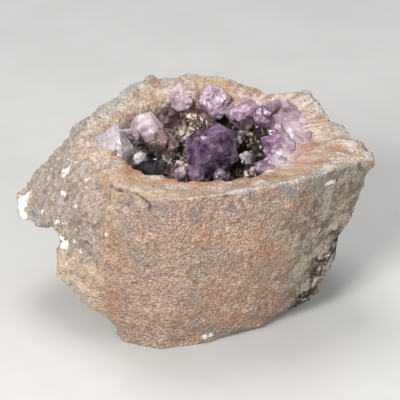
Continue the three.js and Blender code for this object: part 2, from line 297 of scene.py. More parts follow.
# The near wall of the hollow starts this far in front of its middle; its crystals are this much larger.
NEAR_WALL = 14.0
NEAR_SCALE = 1.7

# The druse between the crystals: how many are tried, smallest radius, spread, tilt and where it stops.
DRUSE_COUNT = 3600
DRUSE_RADIUS = 0.6
DRUSE_SPREAD = 1.4
DRUSE_TILT = 1.3
DRUSE_TOP = 80.0

# Shapes of the druse: how many there are and, as shares of their radius, how long and how thick they are and
# how deep they stand in the wall.
DRUSE_MOULDS = 24
DRUSE_LENGTH = (2, 4)
DRUSE_THICKNESS = 0.55
DRUSE_SUNK = 0.8

# Tone of the druse: the share of light ones on the left and on the right, which paint light and shade on the
# hollow's two sides, and the tones of light and of dark ones.
DRUSE_SHARE_LIT_LEFT = 0.9
DRUSE_SHARE_SHADED_RIGHT = 0.12
DRUSE_LIGHT = (0.5, 1)
DRUSE_DARK = (0, 0.12)

# Quartz as a material: refraction, how far it is see-through, and what it takes out of the light.
QUARTZ_IOR = 1.544
QUARTZ_CLEAR = 0.52
QUARTZ_TINT = (216, 180, 212)
QUARTZ_ABSORPTION = 35.0
ROCK_SHINE = 0.25

# Entries in the tables of random numbers that the noise functions draw from.
NOISE_TABLE = 256
NOISE_GAIN = 1.7


def ramp(values, low, high):
    """From 0 at low to 1 at high, smoothly; low may be the larger of the two."""
    share = np.clip((values - low) / (high - low), 0, 1)
    return share * share * (3 - 2 * share)


def unit(vectors):
    return vectors / np.linalg.norm(vectors, axis=1)[:, None]


def table_pick(order, cell):
    """The entry of the noise tables that belongs to each cell of space."""
    wrap = cell % NOISE_TABLE
    pick = order[wrap[:, 0]]
    pick = order[(pick + wrap[:, 1]) % NOISE_TABLE]
    return order[(pick + wrap[:, 2]) % NOISE_TABLE]


def gradient_noise(points, size, seed):
    """Smooth noise, about -1 to 1, with features of the given size."""
    chance = np.random.default_rng(seed)
    order = chance.permutation(NOISE_TABLE)
    slopes = unit(chance.normal(size=(NOISE_TABLE, 3)))
    scaled = points / size
    cell = np.floor(scaled).astype(int)
    inside = scaled - cell
    ease = inside ** 3 * (inside * (inside * 6 - 15) + 10)
    total = np.zeros(len(points))
    for corner in itertools.product((0, 1), repeat=3):
        slope = slopes[table_pick(order, cell + corner)]
        weight = np.prod(np.where(corner, ease, 1 - ease), axis=1)
        total += weight * np.einsum("ij,ij->i", slope, inside - corner)
    return total * NOISE_GAIN


def fractal(points, size, octaves, seed):
    """Noise with finer and weaker noise laid over it."""
    return sum(gradient_noise(points, size / 2 ** k, seed + k) / 2 ** k for k in range(octaves))


def cells(points, size, seed):
    """Scattered centres: distance to the nearest as a share of size, the way to it, and its number."""
    chance = np.random.default_rng(seed)
    order = chance.permutation(NOISE_TABLE)
    jitter = chance.random((NOISE_TABLE, 3))
    scaled = points / size
    cell = np.floor(scaled).astype(int)
    nearest = np.full(len(points), np.inf)
    away = np.zeros_like(points)
    number = np.zeros(len(points), int)
    for step in itertools.product((-1, 0, 1), repeat=3):
        pick = table_pick(order, cell + step)
        gap = cell + step + jitter[pick] - scaled
        distance = np.linalg.norm(gap, axis=1)
        closer = distance < nearest
        nearest = np.where(closer, distance, nearest)
        away[closer] = gap[closer]
        number = np.where(closer, pick, number)
    return nearest, away * size, number


def smoothed(values, edges, passes, share=0.5):
    """Values averaged with their neighbours', pass after pass; share may differ from point to point."""
    ends = np.concatenate([edges, edges[:, ::-1]])
    counts = np.bincount(ends[:, 0], minlength=len(values))[:, None]
    share = np.broadcast_to(np.reshape(share, (-1, 1)), (len(values), 1))
    for _ in range(passes):
        sums = [np.bincount(ends[:, 0], column[ends[:, 1]], len(values)) for column in values.T]
        values = values + share * (np.stack(sums, axis=1) / counts - values)
    return values


def read(collection, name, width, kind=float):
    """One property of a mesh's points or edges as an array."""
    values = np.empty(len(collection) * width, kind)
    collection.foreach_get(name, values)
    return values.reshape(-1, width)


def set_points(mesh, points):
    mesh.vertices.foreach_set("co", (points * MM).ravel())
    mesh.update()


def normals_of(mesh):
    return read(mesh.vertex_normals, "vector", 3)


def store(mesh, name, values):
    """Keeps a number for each point, for the material to read."""
    mesh.attributes.new(name, "FLOAT", "POINT").data.foreach_set("value", values.astype(np.float32))


def add_object(name, data):
    """A new object in the scene."""
    thing = bpy.data.objects.new(name, data)
    bpy.context.scene.collection.objects.link(thing)
    return thing


def remeshed(node, name, cell):
    """A new piece with a solid's shape, as an even mesh of square cells."""
    piece = add_object(name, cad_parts[node].data.copy())
    even = piece.modifiers.new("Even", "REMESH")
    even.mode = "VOXEL"
    even.voxel_size = cell * MM
    shape = piece.evaluated_get(bpy.context.evaluated_depsgraph_get())
    piece.data = bpy.data.meshes.new_from_object(shape)
    piece.modifiers.clear()
    piece.data.name = name
    piece.data.materials.clear()
    piece.data.shade_smooth()
    return piece


def line_distance(points, line):
    """Distance to a line of straight stretches."""
    nearest = np.full(len(points), np.inf)
    for start, end in zip(np.array(line), np.array(line[1:])):
        stretch = end - start
        along = np.clip((points - start) @ stretch / np.sum(stretch ** 2), 0, 1)
        distance = np.linalg.norm(points - start - along[:, None] * stretch, axis=1)
        nearest = np.minimum(nearest, distance)
    return nearest


def white_chips(points):
    """1 on the white chips and 0 off them, with ragged edges."""
    chalk = np.zeros(len(points))
    ragged = gradient_noise(points, 2.2, 31) + 0.6 * gradient_noise(points, 1.1, 32)
    for x, y, z, radius in WHITE_CHIPS:
        distance = np.linalg.norm(points - (x, y, z), axis=1) / radius + CHIP_RAGGED * ragged
        chalk = np.maximum(chalk, ramp(distance, 1.15, 0.8))
    return chalk


def wall_share(points):
    """How far a point is from the wall of the hollow: 0 on the wall, 1 at its middle."""
    return 1 - np.linalg.norm((points - HOLLOW_CENTRE) / HOLLOW_HALF, axis=-1)


def mouth_reach(angle):
    """How far the rim comes in over the hollow, in each direction."""
    turns, reach = zip(*MOUTH_REACH)
    return np.interp(np.degrees(angle), turns, reach, period=360)


class RockSurface:
    """The rock's points, worked from the plain solid to worn stone, and what is known about each of them."""

    def __init__(self, mesh):
        self.mesh = mesh
        self.edges = read(mesh.edges, "vertices", 2, np.int32)
        self.points = read(mesh.vertices, "co", 3) / MM
        self.sharp = self.bend(20, 0.97, 0.88)
        self.edge = self.bend(5, 0.94, 0.84)

    def bend(self, passes, flat, bent):
        """0 where the surface is flat and 1 where it turns; more passes look further round each point."""
        mean = smoothed(normals_of(self.mesh), self.edges, passes)
        return ramp(np.linalg.norm(mean, axis=1), flat, bent)

    def towards(self, degrees, low, high):
        """1 in one direction from the middle of the hollow, and 0 away from it."""
        return ramp(np.cos(self.angle - math.radians(degrees)), low, high)

    def wear(self):
        """Rounds the facets and leaves their edges."""
        share = WEAR_SHARE - WEAR_KEPT * self.sharp
        self.points = smoothed(self.points, self.edges, WEAR_PASSES, share)

    def draw_in_mouth(self):
        """Brings the rim in over the hollow, dipping as it comes, and gives the wall its thickness."""
        points = self.points
        height = points[:, 2]
        spread = points[:, :2] - HOLLOW_CENTRE[:2]
        self.around = np.linalg.norm(spread / HOLLOW_HALF[:2], axis=1)
        self.angle = np.arctan2(spread[:, 1], spread[:, 0])
        self.inside = ramp(wall_share(points), -0.07, -0.02) * ramp(height, *WALL_FOOT)
        self.deep = ramp(height, *WALL_DEEP)
        ragged = 1 + MOUTH_RAGGED * fractal(points, 15, 3, 13)
        near = ramp(self.around, MOUTH_SPREAD, 1.0)
        reach = mouth_reach(self.angle) * ragged * near * ramp(height, *MOUTH_HEIGHT)
        thickness = self.inside * np.interp(height, *zip(*WALL_PROFILE)) * ragged
        inward = unit((HOLLOW_CENTRE - points) / HOLLOW_HALF ** 2)
        points = points + inward * thickness[:, None]
        points[:, :2] -= unit(spread) * reach[:, None]
        dip = MOUTH_DIP * (MOUTH_DIP_LEFT + (1 - MOUTH_DIP_LEFT) * self.towards(5, 0.0, 0.6))
        points[:, 2] -= dip * reach * ramp(points[:, 2], *DIP_HEIGHT)
        self.points = points
        set_points(self.mesh, points)

    def sort_kinds(self):
        """Finds the rim, the pebbly skin, the pitted end and the broken sides, with stirred borders."""
        points = self.points
        self.normals = normals_of(self.mesh)
        facing = unit(smoothed(self.normals, self.edges, FACING_PASSES))
        self.height = points[:, 2]
        self.stir = fractal(points, 14, 4, 3)
        stir = self.stir
        rim = ramp(facing[:, 2] + 0.16 * stir, 0.7, 0.92) * ramp(self.height + 3 * stir, *RIM_HEIGHT)
        rim = np.maximum(rim, self.inside)
        end = ramp(facing[:, 0] + 0.3 * stir, 0.6, 1.0) * ramp(fractal(points, 24, 3, 18), -0.3, 0.25)
        band = line_distance(points, PITTED_LINE) + 2.5 * stir
        end = np.maximum(end, ramp(band, PITTED_HALF_WIDTH, PITTED_CORE))
        pitted = end * ramp(self.height + 8 * stir, *PITTED_HEIGHT) * (1 - rim)
        front = -facing[:, 1] + 0.1 * stir - 0.35 * np.maximum(-facing[:, 0], 0)
        skin = ramp(front, 0.3, 0.66) * (1 - rim)
        skin = skin * (1 - pitted) * ramp(points[:, 0] + 3 * stir, *SKIN_LEFT)
        broken = np.clip(1 - rim - skin - pitted, 0, 1)
        self.kinds = {"skin": skin, "broken": broken, "pitted": pitted, "rim": rim}

    def find_details(self):
        """Finds the rim's outer edge, the white chips, the crack with its painted shadow line, the pale
        strip and the fibres.
        """
        points = self.points
        top_edge = ramp(self.height, *EDGE_HEIGHT) * ramp(self.around, 1.1, 1.2)
        self.lip = self.edge * top_edge
        self.brow = self.sharp * top_edge
        self.chalk = white_chips(points)
        line = line_distance(points[:, :2], SHADOWED_CRACK) + 0.8 * self.stir
        crack_and_shadow = ramp(line, CRACK_HALF_WIDTH, 0.2 * CRACK_HALF_WIDTH)
        self.crack_and_shadow = crack_and_shadow * ramp(self.height, *CRACK_HEIGHT) * (1 - self.edge)
        strip = line_distance(points[:, :2], PALE_STRIP) + 3 * self.stir
        pale = ramp(strip, PALE_HALF_WIDTH, 0.6 * PALE_HALF_WIDTH)
        self.pale = pale * ramp(self.height + 3 * self.stir, *PALE_HEIGHT)
        turns = np.stack([self.angle * 28, self.around * 4, self.height / 9], axis=1)
        fibre = self.towards(5, 0.0, 0.6) * fractal(turns, 1.0, 2, 10)
        self.fibre = fibre + 0.5 * fractal(points, 9, 2, 12)

    def forms(self):
        """The forms that the relief is made of."""
        points = self.points
        _, away, number = cells(points + 3 * fractal(points, 9, 2, 15)[:, None], 15.0, 16)
        tilts = np.random.default_rng(17).normal(size=(NOISE_TABLE, 3))
        facets = np.einsum("ij,ij->i", away, tilts[number])
        return {
            "lift": 1.0,
            "lumps": fractal(points, 20, 4, 7),
            "pebble": 0.55 - cells(points, 2.1, 5)[0],
            "cobble": 0.55 - cells(points, 4.2, 6)[0],
            "ledges": np.abs(fractal(points * (1, 1, 0.7), 17, 4, 8)),
            "creases": np.abs(fractal(points * (1, 1, 0.6), 10, 3, 20)),
            "holes": ramp(fractal(points, 5.5, 3, 9), 0.12, 0.5),
            "facets": smoothed(facets[:, None], self.edges, 3)[:, 0],
            "fibre": self.fibre,
        }

    def raise_relief(self):
        """Moves each point out or in, along the surface's own direction."""
        points = self.points
        forms = self.forms()
        relief = np.zeros(len(points))
        for kind, heights in RELIEF.items():
            relief += self.kinds[kind] * sum(height * forms[form] for form, height in heights.items())
        relief += WALL_COBBLES * self.inside * self.deep * forms["cobble"]
        relief -= BROW_CHIPS * self.brow * np.maximum(fractal(points, 10, 4, 11), 0)
        ridge = line_distance(points, RIDGE) + 1.5 * self.stir
        relief += RIDGE_HEIGHT * ramp(ridge, RIDGE_HALF_WIDTH, 0)
        relief -= CRACK_DEPTH * self.crack_and_shadow
        relief += CHIP_HEIGHT * self.chalk
        for x, y, radius, lift in KNOBS:
            gap = np.linalg.norm(points[:, :2] - (x, y), axis=1)
            relief += lift * ramp(gap, radius, 0) * ramp(self.height, *KNOB_HEIGHT)
        relief -= PALE_DEPTH * self.pale
        relief *= ramp(self.height, *FOOT_HEIGHT)
        self.bumps = relief - smoothed(relief[:, None], self.edges, 6)[:, 0]
        self.points = points + self.normals * relief[:, None]
        self.points[:, 2] = np.maximum(self.points[:, 2], 0)
        set_points(self.mesh, self.points)

    def rust(self):
        """A rusty band round the mouth, strongest at the front."""
        band = ramp(np.abs(wall_share(self.points) - 0.04), 0.14, 0.03) * ramp(self.height, 66, 76)
        band *= 0.4 + 0.6 * ramp(np.sin(self.angle), 0.2, -0.4)
        return band * ramp(fractal(self.points, 9, 3, 19), -0.35, 0.3)

    def ochre(self):
        """Ochre bands of the rim, more of them at the front and fewer at the back left."""
        turns = np.stack([self.angle * 2.2, self.around * 9, self.height / 20], axis=1)
        front_right = self.towards(-48, 0.2, 0.75) * ramp(np.abs(self.around - 1.25), 0.16, 0.04)
        back_left = self.towards(145, 0.4, 0.9)
        front_left = self.towards(225, 0.5, 0.95)
        banding = fractal(turns, 1.0, 3, 14)
        return ramp(banding + 0.5 * front_right - 0.3 * back_left + 0.35 * front_left, 0.12, 0.7)

    def lilac(self):
        """The lilac of the rim next to the crystals on the right."""
        right = self.towards(10, 0.3, 0.85)
        return ramp(self.around + 0.1 * self.stir, 1.04 + 0.22 * right, 0.97) * right

    def masks(self):
        """What the material reads at each point, by name."""
        across = self.points[:, 0]
        height = self.height
        stir = self.stir
        rim = self.kinds["rim"]
        skin = self.kinds["skin"]
        warm = self.kinds["broken"] * ramp(height + 6 * stir, 56, 40)
        ridge = line_distance(self.points, RIDGE) + 4 * stir
        return {
            "rim": rim,
            "skin": skin,
            "pitted": self.kinds["pitted"],
            "grey": skin * ramp(across + 8 * stir, 34, 60),
            "under": skin * ramp(height + 5 * stir, 70, 84),
            "warm": warm * ramp(across + 4 * stir, -36, -46),
            "ridge": ramp(ridge, 2 * RIDGE_HALF_WIDTH, 0),
            "inside": self.inside * ramp(height + 3 * stir, 85, 76),
            "lip": self.lip,
            "brow": self.brow * rim,
            "chalk": self.chalk,
            "crack_and_shadow": self.crack_and_shadow,
            "pale": self.pale,
            "fibre": self.fibre,
            "rust": self.rust(),
            "ochre": self.ochre(),
            "lilac": self.lilac(),
            # Painted shade: where the fine relief dips in, the material darkens the rock.
            "hollow": self.bumps * (1 - self.lip) * (1 - 0.6 * rim),
        }


def rock_piece():
    """The block: facets worn round, then lumps, ledges, pits, pebbly skin and the fibres of the rim."""
    piece = remeshed("rock_shell", "weathered_rock", ROCK_CELL)
    surface = RockSurface(piece.data)
    surface.wear()
    surface.draw_in_mouth()
    surface.sort_kinds()
    surface.find_details()
    surface.raise_relief()
    for name, values in surface.masks().items():
        store(piece.data, name, values)
    return piece


def crystal_planes(radius, length, chance, breaks):
    """A place on each face of a crystal and the way it faces: sides and point by turns, then breaks."""
    planes = []
    for k in range(6):
        side = Vector((math.cos(k * math.tau / 6), math.sin(k * math.tau / 6), 0))
        planes.append((side * radius * chance.uniform(*SIDE_OUT), side))
        slant = side * math.cos(POINT_LEAN) + Vector((0, 0, math.sin(POINT_LEAN)))
        planes.append((Vector((0, 0, length - radius * chance.uniform(*POINT_DOWN))), slant))
    for _ in range(breaks):
        turn = chance.uniform(0, math.tau)
        way = Vector((math.cos(turn), math.sin(turn), chance.uniform(*BREAK_RISE))).normalized()
        middle = Vector((0, 0, length - BREAK_DOWN * radius))
        planes.append((middle + way * radius * chance.uniform(*BREAK_OUT), way))
    return planes


def crystal_shape(radius, length, chance, breaks=0, bevel=0.0):
    """A crystal standing along +Z from its root: the space inside the planes of its faces."""
    shape = bmesh.new()
    block = Matrix.Translation((0, 0, length)) @ Matrix.Diagonal((4 * radius, 4 * radius, 2 * length, 1))
    bmesh.ops.create_cube(shape, size=1, matrix=block)
    for place, way in crystal_planes(radius, length, chance, breaks):
        parts = [*shape.verts, *shape.edges, *shape.faces]
        cut = bmesh.ops.bisect_plane(shape, geom=parts, plane_co=place, plane_no=way, clear_outer=True)
        border = [part for part in cut["geom_cut"] if isinstance(part, bmesh.types.BMEdge)]
        if len(border) > 2:
            bmesh.ops.contextual_create(shape, geom=border)
    if bevel:
        bmesh.ops.bevel(shape, geom=list(shape.edges), offset=bevel, segments=1, affect="EDGES")
    shape.verts.index_update()
    points = np.array([vert.co for vert in shape.verts])
    faces = [[vert.index for vert in face.verts] for face in shape.faces]
    shape.free()
    return points, faces


class Heap:
    """Points and faces of many crystals, gathered for one piece."""

    def __init__(self, seed):
        self.chance = np.random.default_rng(seed)
        self.points = []
        self.faces = []
        self.marks = {}

    def add(self, shape, root, axis, spin, scale=1.0, **marks):
        """Stands a shape on its root; marks are numbers kept with its points."""
        points, faces = shape
        start = sum(map(len, self.points))
        turn = Vector(axis).to_track_quat("Z", "Y").to_matrix() @ Matrix.Rotation(spin, 3, "Z")
        self.points.append(points * scale @ np.array(turn).T + root)
        self.faces += [[start + k for k in face] for face in faces]
        marks["along"] = points[:, 2] / points[:, 2].max()
        for name, value in marks.items():
            self.marks.setdefault(name, []).append(np.broadcast_to(value, len(points)))

    def piece(self, name):
        mesh = bpy.data.meshes.new(name)
        mesh.from_pydata(np.concatenate(self.points) * MM, [], self.faces)
        for mark, values in self.marks.items():
            store(mesh, mark, np.concatenate(values))
        return add_object(name, mesh)


def wall_hits(rock, count):
    """Points of the hollow's wall seen from the middle of the mouth, evenly all round and down."""
    faces = [face.vertices for face in rock.data.polygons]
    tree = BVHTree.FromPolygons([vert.co for vert in rock.data.vertices], faces)
    golden = math.pi * (3 - math.sqrt(5))
    for i in range(count):
        down = (i + 0.5) / count
        flat = math.sqrt(1 - down * down)
        way = np.array([flat * math.cos(i * golden), flat * math.sin(i * golden), -down]) * HOLLOW_HALF
        hit = tree.ray_cast(Vector(HOLLOW_CENTRE * MM), Vector(way).normalized())[0]
        if hit is not None:
            yield np.array(hit) / MM


def stirred(axis, stir, chance):
    """A direction turned a little at random."""
    axis = axis / np.linalg.norm(axis) + stir * chance.normal(size=3)
    return axis / np.linalg.norm(axis)


def off_wall(hit, stir, chance):
    """The way into the hollow from a point of its wall, turned a little at random."""
    return stirred((HOLLOW_CENTRE - hit) / HOLLOW_HALF ** 2, stir, chance)


def add_crystal(heap, tip, turn, rise, radius, length, purple, dark, others, pick):
    """One crystal of the list, with the smaller ones beside it."""
    chance = np.random.default_rng(pick)
    turn = math.radians(turn)
    rise = math.radians(rise)
    flat = math.cos(rise)
    axis = np.array([math.cos(turn) * flat, math.sin(turn) * flat, math.sin(rise)])
    spin = chance.uniform(0, math.tau)
    shape = crystal_shape(radius, length, chance, CRYSTAL_BREAKS, CRYSTAL_BEVEL)
    start = tip - axis * (length - 0.5 * radius)
    heap.add(shape, start, axis, spin, purple=purple, dark=dark)
    for _ in range(others):
        aside = np.cross(axis, chance.normal(size=3))
        aside *= radius * chance.uniform(*BESIDE_PLACE) / np.linalg.norm(aside)
        size = radius * chance.uniform(*BESIDE_RADIUS)
        reach = length - radius * chance.uniform(*BESIDE_SHORTER)
        shape = crystal_shape(size, reach, chance, 1, CRYSTAL_BEVEL)
        way = stirred(axis, BESIDE_TILT, chance)
        shade = purple * chance.uniform(*BESIDE_PURPLE)
        heap.add(shape, start + aside, way, spin, purple=min(shade, 1), dark=dark)


def small_crystal(hit, chance):
    """Radius of a small crystal and how purple and dark it is: amber on the left, purple elsewhere."""
    radius = chance.uniform(*SMALL_RADIUS)
    if hit[1] < HOLLOW_CENTRE[1] - NEAR_WALL:
        return radius * NEAR_SCALE, chance.uniform(0.3, 0.9), chance.uniform(0.0, 0.4)
    if hit[0] < HOLLOW_CENTRE[0]:
        return radius, chance.uniform(0, 0.15), chance.uniform(0.1, 0.5)
    return radius, chance.uniform(0, 0.7), chance.uniform(0.3, 0.8)


def crust_piece(rock):
    """The crystals: those with a place of their own, and small ones on the wall."""
    heap = Heap(51)
    for crystal in CRYSTALS:
        add_crystal(heap, *crystal)
    chance = heap.chance
    for hit in wall_hits(rock, SMALL_COUNT):
        radius, purple, dark = small_crystal(hit, chance)
        length = radius * chance.uniform(*SMALL_LENGTH)
        shape = crystal_shape(radius, length, chance, 1, CRYSTAL_BEVEL / 2)
        axis = off_wall(hit, SMALL_TILT, chance)
        if hit[2] < SMALL_TOP and chance.random() < SMALL_SHARE:
            heap.add(shape, hit - axis * radius, axis, 0, purple=purple, dark=dark)
    return heap.piece("amethyst_crust")


def druse_tone(hit, chance):
    """How light a crystal of the druse is: more light ones on the left and dark ones on the right, as
    painted light and shade.
    """
    share = DRUSE_SHARE_SHADED_RIGHT if hit[0] > HOLLOW_CENTRE[0] else DRUSE_SHARE_LIT_LEFT
    if chance.random() < share:
        return chance.uniform(*DRUSE_LIGHT)
    return chance.uniform(*DRUSE_DARK)


def druse_piece(rock):
    """Little crystals all over the wall of the hollow, between the others."""
    heap = Heap(41)
    chance = heap.chance
    moulds = [crystal_shape(1, chance.uniform(*DRUSE_LENGTH), chance, 1) for _ in range(DRUSE_MOULDS)]
    moulds = [(points * (1, DRUSE_THICKNESS, 1), faces) for points, faces in moulds]
    for hit in wall_hits(rock, DRUSE_COUNT):
        radius = DRUSE_RADIUS + DRUSE_SPREAD * chance.random() ** 3
        axis = off_wall(hit, DRUSE_TILT, chance)
        mould = moulds[chance.integers(len(moulds))]
        tone = druse_tone(hit, chance)
        spin = chance.uniform(0, math.tau)
        if hit[2] < DRUSE_TOP:
            heap.add(mould, hit - DRUSE_SUNK * radius * axis, axis, spin, radius, tone=tone)
    return heap.piece("druse")


def linear(level):
    """One channel as seen on screen, 0 to 255, as the shader's linear number."""
    if level > 10:
        return ((level / 255 + 0.055) / 1.055) ** 2.4
    return level / 255 / 12.92


def colour(red, green, blue):
    return (linear(red), linear(green), linear(blue), 1.0)


class Shader:
    """A material's nodes, put together by short calls."""

    def __init__(self, name):
        self.material = bpy.data.materials.new(name)
        self.material.use_nodes = True
        self.tree = self.material.node_tree
        self.surface = self.tree.nodes["Principled BSDF"]
        self.output = self.tree.nodes["Material Output"]
        self.place = self.tree.nodes.new("ShaderNodeTexCoord").outputs["Object"]

    def feed(self, socket, value):
        if isinstance(value, bpy.types.NodeSocket):
            self.tree.links.new(value, socket)
        else:
            socket.default_value = value

    def add(self, kind, inputs, **settings):
        """A new node; inputs are numbers, colours or other nodes' outputs."""
        node = self.tree.nodes.new("ShaderNode" + kind)
        for name, value in settings.items():
            setattr(node, name, value)
        for name, value in inputs.items():
            self.feed(node.inputs[name], value)
        return node

    def noise(self, size, detail=3.0, rough=0.55, distortion=0.0):
        """Noise with features of a size in millimetres, 0 to 1."""
        inputs = {
            "Vector": self.place,
            "Scale": 1 / (size * MM),
            "Detail": detail,
            "Roughness": rough,
            "Distortion": distortion,
        }
        return self.add("TexNoise", inputs).outputs[0]

    def centres(self, size):
        """Scattered centres: the distance to the nearest, as a share of size, and a colour of its own."""
        return self.add("TexVoronoi", {"Vector": self.place, "Scale": 1 / (size * MM)}).outputs

    def vector(self, operation, inputs):
        return self.add("VectorMath", inputs, operation=operation).outputs["Vector"]

    def tilted(self, normal, size, tilt):
        """The surface's direction, turned at random round scattered centres, as small flat faces."""
        lean = self.vector("SUBTRACT", {0: self.centres(size)["Color"], 1: (0.5, 0.5, 0.5)})
        lean = self.vector("SCALE", {0: lean, "Scale": tilt})
        return self.vector("NORMALIZE", {0: self.vector("ADD", {0: normal, 1: lean})})

    def mask(self, name):
        """A number that the mesh keeps at each point."""
        return self.add("Attribute", {}, attribute_name=name).outputs["Fac"]

    def step(self, value, low, high, start=0.0, end=1.0):
        """From start to end, smoothly, as value goes from low to high."""
        inputs = {"Value": value, "From Min": low, "From Max": high, "To Min": start, "To Max": end}
        return self.add("MapRange", inputs, interpolation_type="SMOOTHSTEP").outputs[0]

    def plus(self, first, second):
        return self.add("Math", {0: first, 1: second}, operation="ADD").outputs[0]

    def times(self, first, second):
        return self.add("Math", {0: first, 1: second}, operation="MULTIPLY").outputs[0]

    def patchy(self, name, value, low, high, start, end):
        """One of the mesh's masks, in patches that follow a noise."""
        return self.times(self.mask(name), self.step(value, low, high, start, end))

    def mix(self, share, first, second, blend="MIX"):
        """Two colours mixed; the node's sockets 6 and 7 are its colours."""
        inputs = {0: share, 6: first, 7: second}
        return self.add("Mix", inputs, data_type="RGBA", blend_type=blend).outputs[2]

    def put(self, name, value):
        """Gives the surface one of its properties."""
        self.feed(self.surface.inputs[name], value)

    def bump(self, height, strength, distance):
        inputs = {"Height": height, "Strength": strength, "Distance": distance * MM}
        self.put("Normal", self.add("Bump", inputs).outputs[0])


class RockShader(Shader):
    """The rock's nodes, with the noises that its colours share."""

    def __init__(self):
        super().__init__("weathered_rock")
        self.fine = self.noise(1.1, 4.0, 0.7)
        self.grain = self.centres(1.3)["Distance"]
        self.speck = self.noise(2.4, 5.0, 0.75)
        self.fleck = self.noise(1.3, 2.0, 0.5)
        self.blot = self.noise(7, 5.0, 0.7, 0.8)
        self.patch = self.noise(24, 7.0, 0.68, 0.5)
        self.cloud = self.noise(17, 7.0, 0.7, 0.4)


def skin_colour(s):
    """The pebbly skin: tan, with orange and grey patches, and painted shade in the gaps between the pebbles.
    """
    skin = s.mix(s.step(s.speck, 0.34, 0.66), colour(150, 124, 106), colour(214, 184, 163))
    skin = s.mix(s.step(s.patch, 0.44, 0.74, 0, 0.75), skin, colour(188, 132, 92))
    skin = s.mix(s.step(s.cloud, 0.42, 0.7, 0, 0.85), skin, colour(158, 148, 138))
    # Painted shade: darker in the gaps between the pebbles.
    return s.mix(s.step(s.grain, 0.4, 0.8, 0, 0.5), skin, colour(100, 82, 70))


def side_colour(s):
    """The broken sides: greyer, with ochre patches and white flecks."""
    side = s.mix(s.step(s.speck, 0.34, 0.66), colour(138, 124, 112), colour(184, 166, 152))
    side = s.mix(s.patchy("warm", s.blot, 0.35, 0.6, 0.2, 0.8), side, colour(218, 190, 160))
    side = s.mix(s.step(s.patch, 0.46, 0.76, 0, 0.7), side, colour(184, 148, 110))
    side = s.mix(s.step(s.cloud, 0.44, 0.72, 0, 0.75), side, colour(164, 160, 156))
    return s.mix(s.step(s.fleck, 0.67, 0.7, 0, 0.85), side, colour(240, 236, 230))


def pitted_colour(s):
    """The pitted end: dark brown with grey."""
    return s.mix(s.step(s.blot, 0.42, 0.58), colour(42, 34, 29), colour(178, 164, 149))


def rim_colour(s):
    """The rim: cream and tan fibres, orange bands, lilac near the crystals."""
    fibre = s.mask("fibre")
    rim = s.mix(s.step(s.speck, 0.38, 0.6), colour(144, 123, 108), colour(200, 185, 171))
    rim = s.mix(s.step(fibre, 0.0, -0.5, 0, 0.8), rim, colour(150, 112, 82))
    rim = s.mix(s.step(fibre, 0.05, 0.5, 0, 0.75), rim, colour(222, 208, 194))
    rim = s.mix(s.step(s.patch, 0.5, 0.7, 0, 0.65), rim, colour(206, 172, 122))
    rim = s.mix(s.step(s.cloud, 0.48, 0.72, 0, 0.6), rim, colour(180, 174, 168))
    rim = s.mix(s.patchy("ochre", s.speck, 0.3, 0.65, 0.2, 0.7), rim, colour(182, 140, 104))
    return s.mix(s.patchy("lilac", s.speck, 0.34, 0.62, 0.3, 0.95), rim, colour(212, 192, 202))


def shaded_wall_colour(s):
    """The wall of the hollow, seen between the crystals: dark brown as painted shade in the gaps, with
    orange patches.
    """
    wall = s.mix(s.step(s.speck, 0.36, 0.64), colour(52, 39, 34), colour(138, 116, 100))
    return s.mix(s.step(s.patch, 0.5, 0.7, 0, 0.7), wall, colour(150, 98, 74))


def rock_colour(s):
    """All kinds of surface put together, with the hollow's wall in painted shade, then stains, painted shade
    in the dips of the relief, the crack's painted shadow, chips and fine shading over them.
    """
    base = s.mix(s.mask("skin"), side_colour(s), skin_colour(s))
    mottle = s.mix(s.step(s.blot, 0.42, 0.6), colour(98, 89, 76), colour(188, 182, 164))
    base = s.mix(s.patchy("grey", s.cloud, 0.3, 0.6, 0.2, 0.85), base, mottle)
    base = s.mix(s.patchy("ridge", s.speck, 0.4, 0.62, 0, 0.75), base, colour(196, 164, 122))
    base = s.mix(s.patchy("under", s.blot, 0.48, 0.62, 0, 0.85), base, colour(132, 127, 126))
    base = s.mix(s.mask("pitted"), base, pitted_colour(s))
    base = s.mix(s.mask("rim"), base, rim_colour(s))
    base = s.mix(s.patchy("brow", s.blot, 0.35, 0.6, 0, 0.6), base, colour(152, 144, 138))
    base = s.mix(s.patchy("pale", s.speck, 0.3, 0.6, 0.5, 0.95), base, colour(162, 161, 160))
    # Painted shade: the wall of the hollow is dark for the shade between the crystals.
    base = s.mix(s.mask("inside"), base, shaded_wall_colour(s))
    base = s.mix(s.patchy("rust", s.speck, 0.3, 0.6, 0.3, 0.85), base, colour(176, 122, 92))
    base = s.mix(s.patchy("lip", s.speck, 0.3, 0.6, 0.2, 0.9), base, colour(192, 188, 182))
    # Painted shade in the dips of the relief: pits, ledges and creases darker.
    base = s.mix(s.step(s.mask("hollow"), -0.04, -0.5, 0, 0.5), base, colour(84, 68, 58))
    # Painted shadow: the crack is darkened for the shade under the overhanging lip.
    base = s.mix(s.mask("crack_and_shadow"), base, colour(92, 78, 68))
    base = s.mix(s.mask("chalk"), base, colour(246, 244, 242))
    shade = s.mix(s.step(s.fine, 0.28, 0.68), colour(196, 196, 196), colour(255, 255, 255))
    return s.mix(1.0, base, shade, "MULTIPLY")


def rock_material():
    s = RockShader()
    s.put("Base Color", rock_colour(s))
    s.put("Roughness", s.step(s.fine, 0.2, 0.8, 0.95, 0.75))
    s.put("Specular IOR Level", ROCK_SHINE)
    pebbles = s.step(s.grain, 0.0, 0.8, 1.0, 0.0)
    pebbles = s.times(pebbles, s.step(s.mask("rim"), 0.0, 1.0, 1.0, 0.6))
    s.bump(s.plus(pebbles, s.times(s.fine, 0.5)), 1.0, 0.6)
    return s.material


